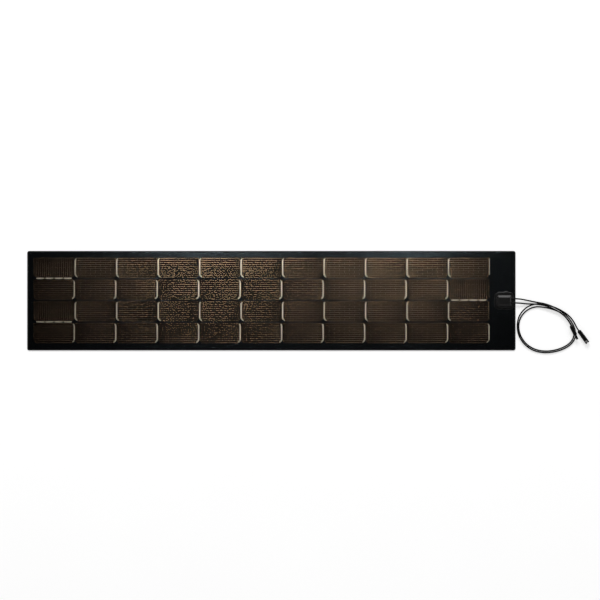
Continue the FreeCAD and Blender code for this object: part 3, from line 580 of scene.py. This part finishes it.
def area_light(name, place, target, size, power):
    """White rectangular light that points at a target and stays out of the picture."""
    data = bpy.data.lights.new(name, "AREA")
    data.shape = "RECTANGLE"
    data.size, data.size_y = size
    data.energy = power
    made = bpy.data.objects.new(name, data)
    made.location = place
    made.rotation_mode = "QUATERNION"
    made.rotation_quaternion = (Vector(target) - Vector(place)).to_track_quat("-Z", "Y")
    made.visible_camera = False
    bpy.context.scene.collection.objects.link(made)


def softbox(name, left, right, glow):
    """Level softbox at the camera's height; glow is its radiance."""
    size = (right - left, SOFTBOX_FAR - SOFTBOX_NEAR)
    place = ((left + right) / 2, (SOFTBOX_NEAR + SOFTBOX_FAR) / 2)
    power = glow * math.pi * size[0] * size[1]
    area_light(name, (*place, CAMERA_HEIGHT), (*place, 0), size, power)


def add_lights():
    """World, side light and softboxes."""
    world = bpy.data.worlds.new("studio")
    world.use_nodes = True
    tree = world.node_tree
    direction = tree.nodes.new("ShaderNodeTexCoord")
    axes = tree.nodes.new("ShaderNodeSeparateXYZ")
    tree.links.new(direction.outputs["Generated"], axes.inputs["Vector"])
    tree.links.new(ramp(tree, axes.outputs["Z"], WORLD_STOPS),
                   tree.nodes["Background"].inputs["Color"])
    bpy.context.scene.world = world
    area_light("far side light", SIDE_LIGHT_PLACE, SIDE_LIGHT_TARGET, SIDE_LIGHT_SIZE,
               SIDE_LIGHT_POWER)
    for name, left, right, glow in SOFTBOXES:
        softbox(name, left, right, glow)


def add_floor():
    """Pale floor a hair below the panel; its glow keeps it white and its shadows faint."""
    data = bpy.data.meshes.new("floor")
    corners = ((-1, -1), (1, -1), (1, 1), (-1, 1))
    data.from_pydata([(x * FLOOR_REACH, y * FLOOR_REACH, 0) for x, y in corners], [],
                     [(0, 1, 2, 3)])
    made = bpy.data.objects.new("floor", data)
    made.location = (0, 0, -FLOOR_DROP)
    bpy.context.scene.collection.objects.link(made)
    finish, tree, shader = material("pale floor")
    tree.links.new(mottle(tree, noise(tree, coordinates(tree), 0.5), 0.91, 0.93),
                   shader.inputs["Base Color"])
    shader.inputs["Roughness"].default_value = 0.8
    shader.inputs["Emission Color"].default_value = (1, 1, 1, 1)
    shader.inputs["Emission Strength"].default_value = FLOOR_GLOW
    data.materials.append(finish)


# ---------------------------------------------------------------- build

bpy.context.scene.view_settings.view_transform = "Standard"
add_camera()

JACKET = moulded("cable jacket", (0.0005, 0.0005, 0.0006), (0.001, 0.001, 0.0012),
                 (0.4, 0.52), ior=1.2)
CONNECTOR = moulded("connector plastic", (0.0007, 0.0007, 0.0008), (0.0014, 0.0014, 0.0016),
                    (0.32, 0.42), ior=1.3)
BOX = moulded("box plastic", (0.0012, 0.001, 0.0009), (0.0022, 0.0018, 0.0016), (0.3, 0.38),
              ior=1.45)
RUBBER = moulded("rubber", (0.0014, 0.0014, 0.0014), (0.0026, 0.0026, 0.0026), (0.5, 0.65),
                 ior=1.3)
SEALANT = moulded("sealant", (0.0012, 0.0012, 0.0012), (0.002, 0.002, 0.002), (0.25, 0.35),
                  0.002, ior=1.4)
TIN = metal("tinned copper", (0.62, 0.58, 0.52), (0.78, 0.74, 0.68), (0.28, 0.4))
COPPER = metal("bare copper strands", (0.72, 0.42, 0.28), (0.85, 0.55, 0.38), (0.3, 0.4), (1, 30, 30))
STEEL = metal("zinc plated steel", (0.5, 0.5, 0.5), (0.65, 0.65, 0.65), (0.25, 0.35))
FINGER = metal("grid fingers", (0.34, 0.242, 0.152), (0.42, 0.3, 0.19), (0.17, 0.21))
BAR = metal("grid bars", (0.90, 0.81, 0.63), (0.98, 0.89, 0.71), (0.25, 0.32))
FILM = clear("front film", 1.1, 0.22, 0.0012, 0.00003)
FILLER = clear("clear filler", 1.004, 0.3, 0.004, 0.00001)
BORDER = border_material()
CELL = cell_material()
EDGE = moulded("edge seal", (0.0022, 0.0022, 0.0024), (0.0034, 0.0034, 0.0036), (0.55, 0.7))
BACK = moulded("back sheet", (0.008, 0.008, 0.0085), (0.013, 0.013, 0.0135), (0.5, 0.62), 0.0011,
               0.00008, 0.8)
BOARD = moulded("glass fibre board", (0.32, 0.30, 0.2), (0.42, 0.39, 0.28), (0.4, 0.55))

long_cable = curve_cable("long_cable_jacket", LONG_ROUTE, JACKET)
short_cable = curve_cable("short_cable_jacket", SHORT_ROUTE, JACKET)
for cable, node in ((long_cable, "long_cable"), (short_cable, "short_cable")):
    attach(cable, "panel")
    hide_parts(node)

add_floor()
add_lights()

paint(FILM, "front_film")
paint(FILLER, "front_encapsulant")
paint(BORDER, "rear_encapsulant", "bus_cover_film")
paint(EDGE, "edge_seal")
paint(BACK, "back_sheet")
paint(BOARD, "support_board")
for row in range(ROWS):
    paint(CELL, "cell_row_%d" % (row + 1))
    grids = row_of_grids(row)
    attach(grids, "panel")
    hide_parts("grid_row_%d" % (row + 1))
paint(TIN, "positive_bus_ribbon", "negative_bus_ribbon", "positive_terminal",
      "negative_terminal", "pin_contact", "socket_contact")
paint(COPPER, "box_conductor_ends", "pin_conductor_end", "socket_conductor_end")
paint(STEEL, "clamp_screws")
paint(BOX, "junction_box_base", "junction_box_lid", "cable_clamp", "bypass_diode")
paint(RUBBER, "lid_gasket", "positive_cable_boot", "negative_cable_boot", "pin_cable_seal",
      "socket_cable_seal", "socket_o_ring")
bead = sealant_bead()
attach(bead, "panel")
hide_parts("sealant_bead")
paint(CONNECTOR, "pin_housing", "socket_housing", "pin_gland_nut", "socket_gland_nut",
      "pin_clamping_cage", "socket_clamping_cage", "upper_latch_arm", "lower_latch_arm")

draw_in("front_encapsulant", HAIRLINE)
for width, names in EDGE_ROUNDING.items():
    for name in names:
        soften(name, width * MM)
